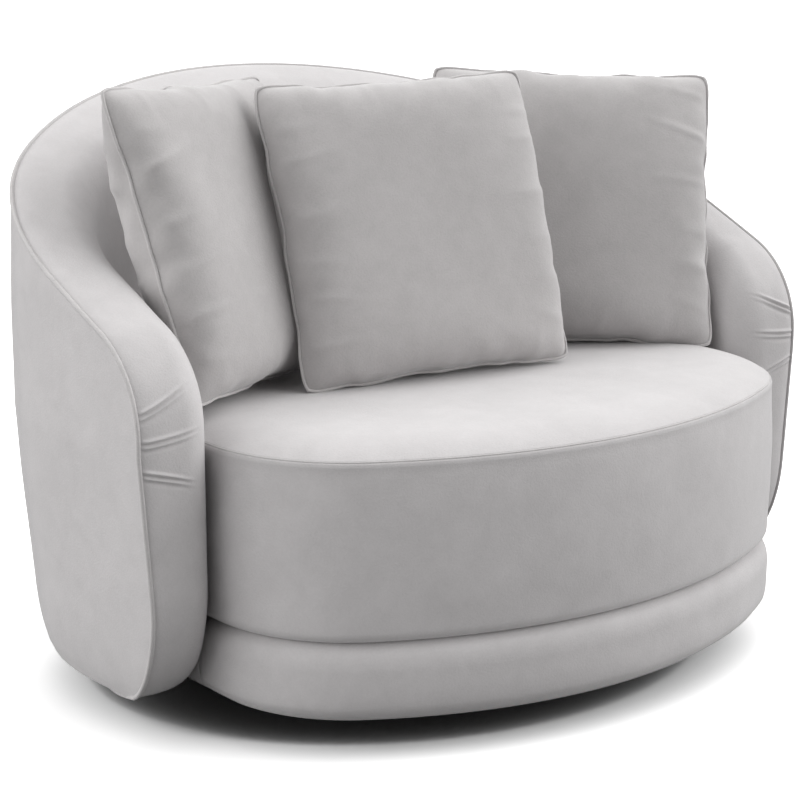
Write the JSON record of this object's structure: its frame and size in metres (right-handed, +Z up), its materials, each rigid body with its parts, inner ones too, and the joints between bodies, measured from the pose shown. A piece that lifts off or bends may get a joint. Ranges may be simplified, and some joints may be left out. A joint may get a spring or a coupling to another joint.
{
  "type": "cuddle chair",
  "caption": "Wide round swivel tub chair in pale grey velvet, with an oval drum seat cushion, a rounded border over a set-back round base, and loose piped scatter cushions.",
  "frame": {"origin": "on the floor, on the swivel axis, in the middle of the chair's width and depth", "axes": "+Z up, +X to the sitter's left (the viewer's right from the front), -Y the way the chair faces"},
  "size_m": [1.2804, 1.0002, 0.8804],
  "materials": {
    "velvet": "plush pale grey velvet",
    "velvet_piping": "piped seam in the same velvet",
    "foam": "upholstery foam and fibre filling",
    "lining": "black non-woven cloth",
    "felt": "grey felt",
    "webbing": "elastic webbing",
    "plywood": "birch plywood",
    "base_board": "board stained black",
    "bearing_steel": "zinc plated",
    "spring_steel": "oiled spring wire",
    "rubber": "moulded",
    "zip": "nylon coil zip"
  },
  "bodies": {
    "base": {"base_disc": "base_board", "base_glides": "rubber", "lower_swivel_plate": "bearing_steel", "base_screws": "bearing_steel"},
    "ball_ring": {"ball_cage": "bearing_steel", "bearing_balls": "bearing_steel"},
    "chair": {"back_webbing": "webbing", "border_cover": "velvet", "border_foam": "foam", "corner_blocks": "plywood", "deck_board": "plywood", "deck_screws": "bearing_steel", "dust_cover": "lining", "front_seat_rail": "plywood", "inside_cover": "velvet", "left_arm_panel": "plywood", "left_seat_rail": "plywood", "lower_tub_rail": "plywood", "outside_cover": "velvet", "platform_cloth": "lining", "rear_seat_rail": "plywood", "right_arm_panel": "plywood", "right_seat_rail": "plywood", "seat_springs": "spring_steel", "spring_clips": "bearing_steel", "spring_pad": "felt", "swivel_bolts": "bearing_steel", "tee_nuts": "bearing_steel", "top_tub_rail": "plywood", "tub_foam": "foam", "tub_piping": "velvet_piping", "tub_posts": "plywood", "upper_swivel_plate": "bearing_steel"},
    "seat_cushion": {"seat_band_cover": "velvet", "seat_foam": "foam", "seat_seam": "velvet_piping", "seat_top_cover": "velvet", "seat_under_cloth": "lining", "seat_zip": "zip"},
    "left_cushion": {"left_cushion_back_panel": "velvet", "left_cushion_front_panel": "velvet", "left_cushion_pad": "foam", "left_cushion_piping": "velvet_piping", "left_cushion_zip": "zip"},
    "centre_cushion": {"centre_cushion_back_panel": "velvet", "centre_cushion_front_panel": "velvet", "centre_cushion_pad": "foam", "centre_cushion_piping": "velvet_piping", "centre_cushion_zip": "zip"},
    "right_cushion": {"right_cushion_back_panel": "velvet", "right_cushion_front_panel": "velvet", "right_cushion_pad": "foam", "right_cushion_piping": "velvet_piping", "right_cushion_zip": "zip"}
  },
  "joints": [
    {"name": "swivel", "type": "hinge", "parent": "base", "child": "chair", "pos_m": [0, 0, 0.0455], "axis": [0, 0, 1], "continuous": true},
    {"name": "ball_ring_turn", "type": "hinge", "parent": "base", "child": "ball_ring", "pos_m": [0, 0, 0.0455], "axis": [0, 0, 1], "continuous": true},
    {"name": "seat_cushion_lift", "type": "slide", "parent": "chair", "child": "seat_cushion", "axis": [0, 0, 1], "range_m": [0, 0.75]},
    {"name": "left_cushion_lift", "type": "slide", "parent": "seat_cushion", "child": "left_cushion", "axis": [-0.1528, 0.2875, 0.9455], "range_m": [0, 0.5]},
    {"name": "centre_cushion_lift", "type": "slide", "parent": "seat_cushion", "child": "centre_cushion", "axis": [0.0509, 0.3216, 0.9455], "range_m": [0, 0.5]},
    {"name": "right_cushion_lift", "type": "slide", "parent": "seat_cushion", "child": "right_cushion", "axis": [0.2084, 0.3209, 0.9239], "range_m": [0, 0.5]}
  ],
  "couplings": [
    {"joint": "ball_ring_turn", "follows": "swivel", "ratio": 0.5}
  ]
}
